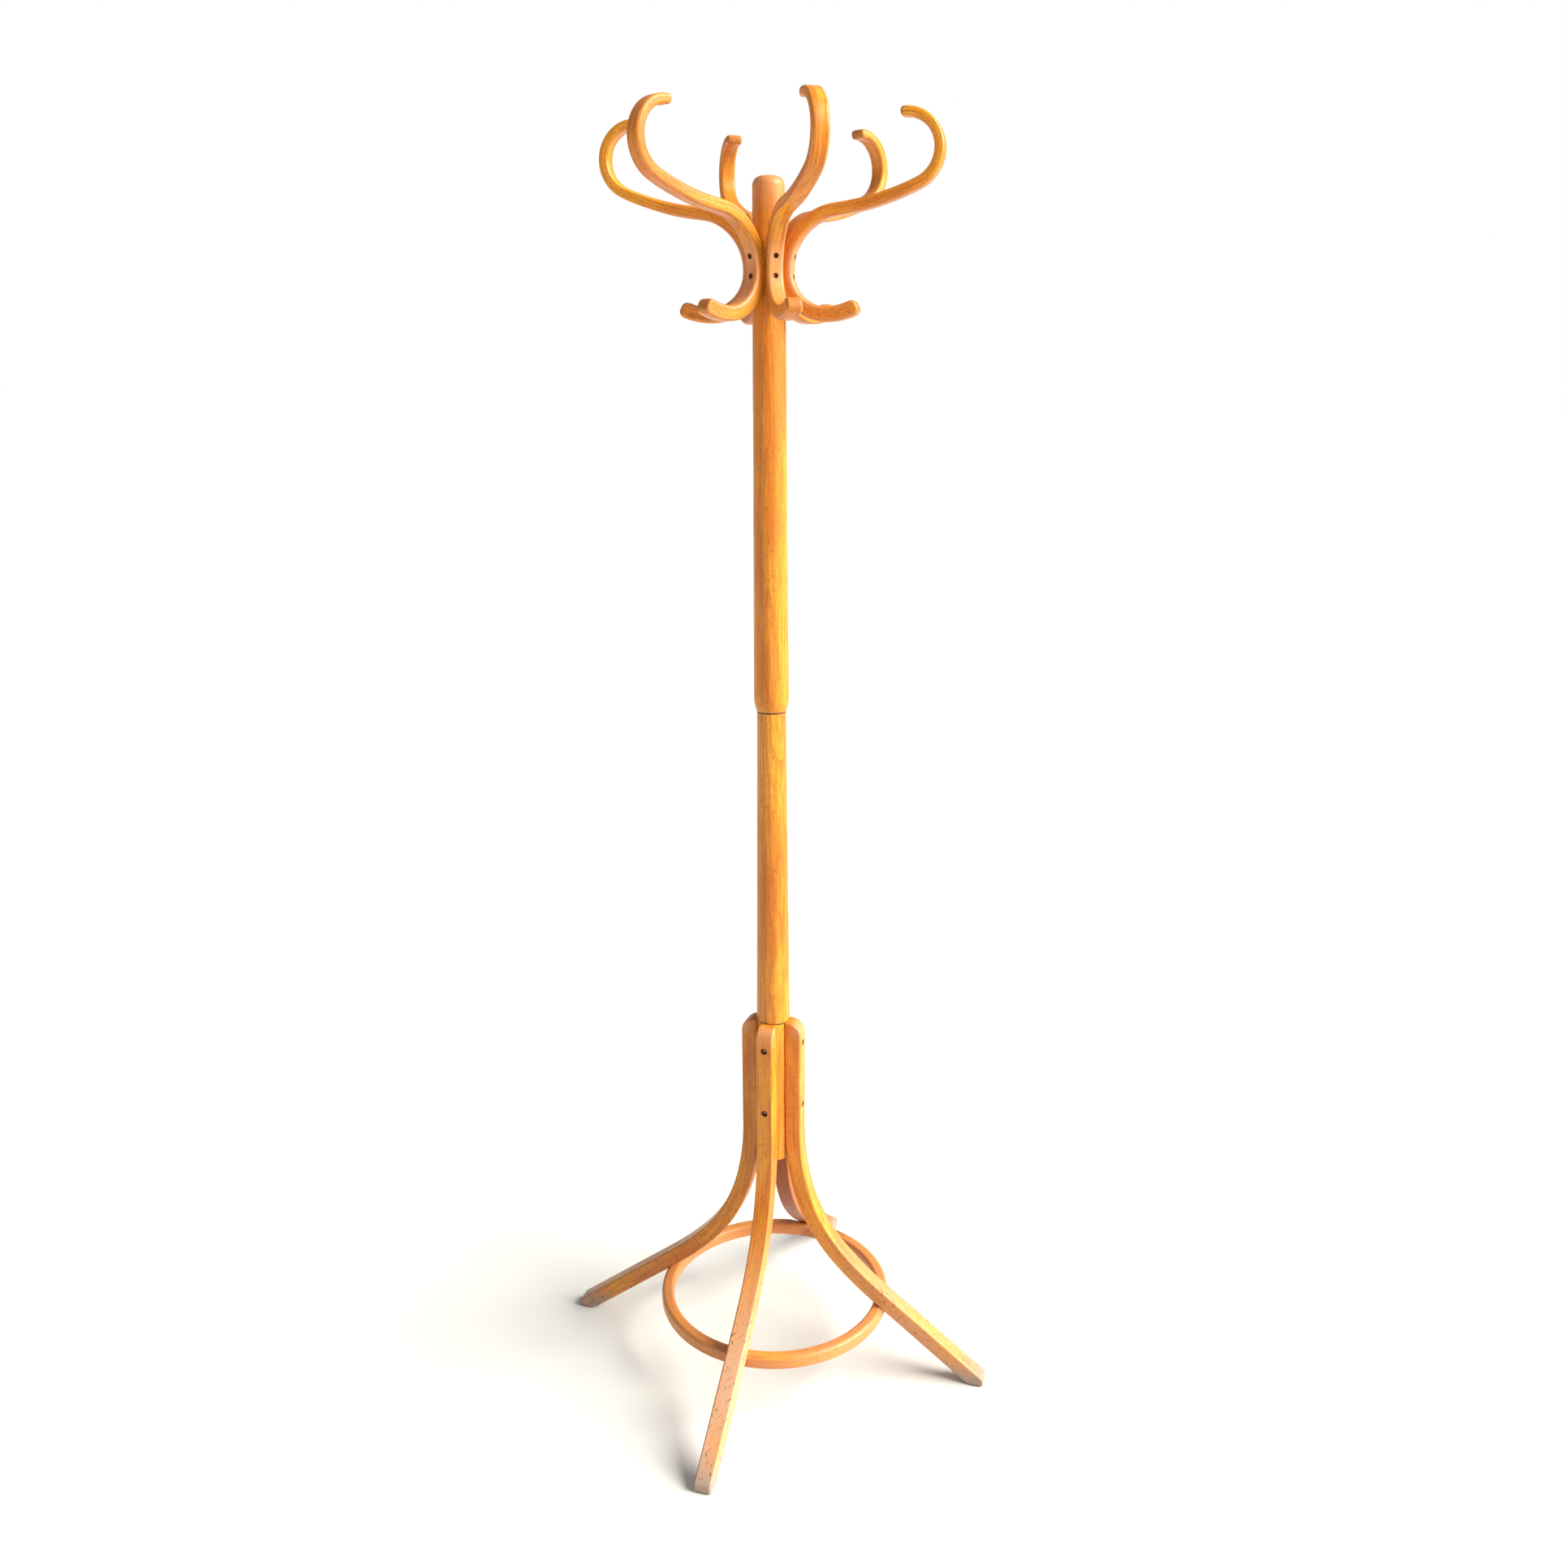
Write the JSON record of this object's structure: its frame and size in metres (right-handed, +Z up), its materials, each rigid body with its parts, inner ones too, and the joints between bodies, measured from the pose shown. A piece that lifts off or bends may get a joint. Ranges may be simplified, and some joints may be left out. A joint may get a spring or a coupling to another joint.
{
  "type": "standing coat rack",
  "caption": "Standing bentwood coat rack: a turned column in halves, splayed legs with a foot ring, and a crown of double-ended curved hooks.",
  "frame": {"origin": "middle of the base on the floor, on the column's axis", "axes": "+Z up along the column, -Y towards the front leg, +X towards the right leg"},
  "size_m": [0.7, 0.7, 1.8692],
  "materials": {
    "beech": "varnished",
    "screw_steel": "aged",
    "insert_steel": "zinc plated"
  },
  "bodies": {
    "stand": {"lower_column": "beech", "foot_ring": "beech", "ring_screws": "screw_steel", "leg_front": "beech", "leg_right": "beech", "leg_back": "beech", "leg_left": "beech", "leg_front_screws": "screw_steel", "leg_right_screws": "screw_steel", "leg_back_screws": "screw_steel", "leg_left_screws": "screw_steel"},
    "stud": {"joint_stud": "screw_steel"},
    "crown": {"upper_column": "beech", "joint_insert": "insert_steel", "hook_1": "beech", "hook_2": "beech", "hook_3": "beech", "hook_4": "beech", "hook_5": "beech", "hook_6": "beech", "hook_1_screws": "screw_steel", "hook_2_screws": "screw_steel", "hook_3_screws": "screw_steel", "hook_4_screws": "screw_steel", "hook_5_screws": "screw_steel", "hook_6_screws": "screw_steel"}
  },
  "joints": [
    {"name": "column_turn", "type": "hinge", "parent": "stand", "child": "stud", "pos_m": [0, 0, 1.077], "axis": [0, 0, 1], "range_deg": [0, 2592]},
    {"name": "column_rise", "type": "slide", "parent": "stud", "child": "crown", "axis": [0, 0, 1], "range_m": [0, 0.0361]}
  ],
  "couplings": [
    {"joint": "column_rise", "follows": "column_turn", "m_per_rad": 0.00079577}
  ]
}
